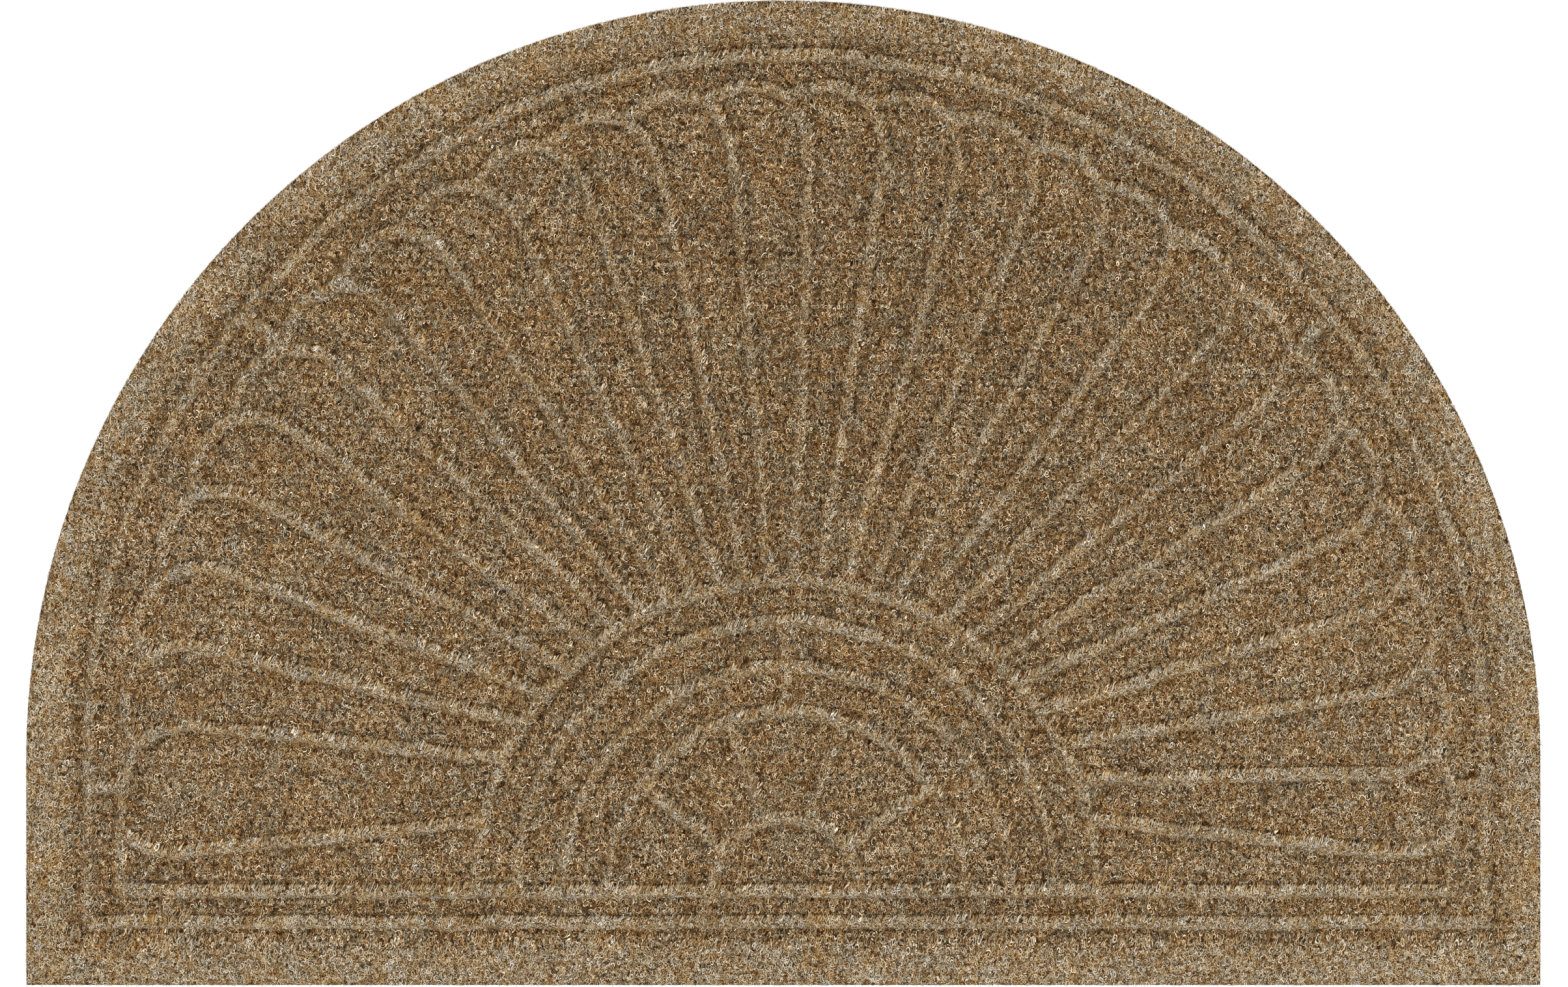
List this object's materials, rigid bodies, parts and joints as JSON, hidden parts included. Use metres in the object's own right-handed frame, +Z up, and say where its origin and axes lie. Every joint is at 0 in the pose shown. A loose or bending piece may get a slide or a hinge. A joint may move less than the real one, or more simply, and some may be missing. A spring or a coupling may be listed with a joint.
{
  "type": "doormat",
  "caption": "Half-round entrance doormat of needled carpet: a flat rim round a sunken field with a raised sunburst of fluted cords over a ringed hub",
  "frame": {"origin": "On the floor, under the middle of the mat's bounding box", "axes": "+X along the straight front edge to the right, +Y from the front edge towards the arch, +Z up out of the pile"},
  "size_m": [0.9144, 0.5946, 0.008],
  "materials": {
    "carpet": "matt curly needled pile in mottled beige, grey, tan and brown fibres"
  },
  "bodies": {
    "root": {"mat": "carpet"}
  },
  "joints": []
}
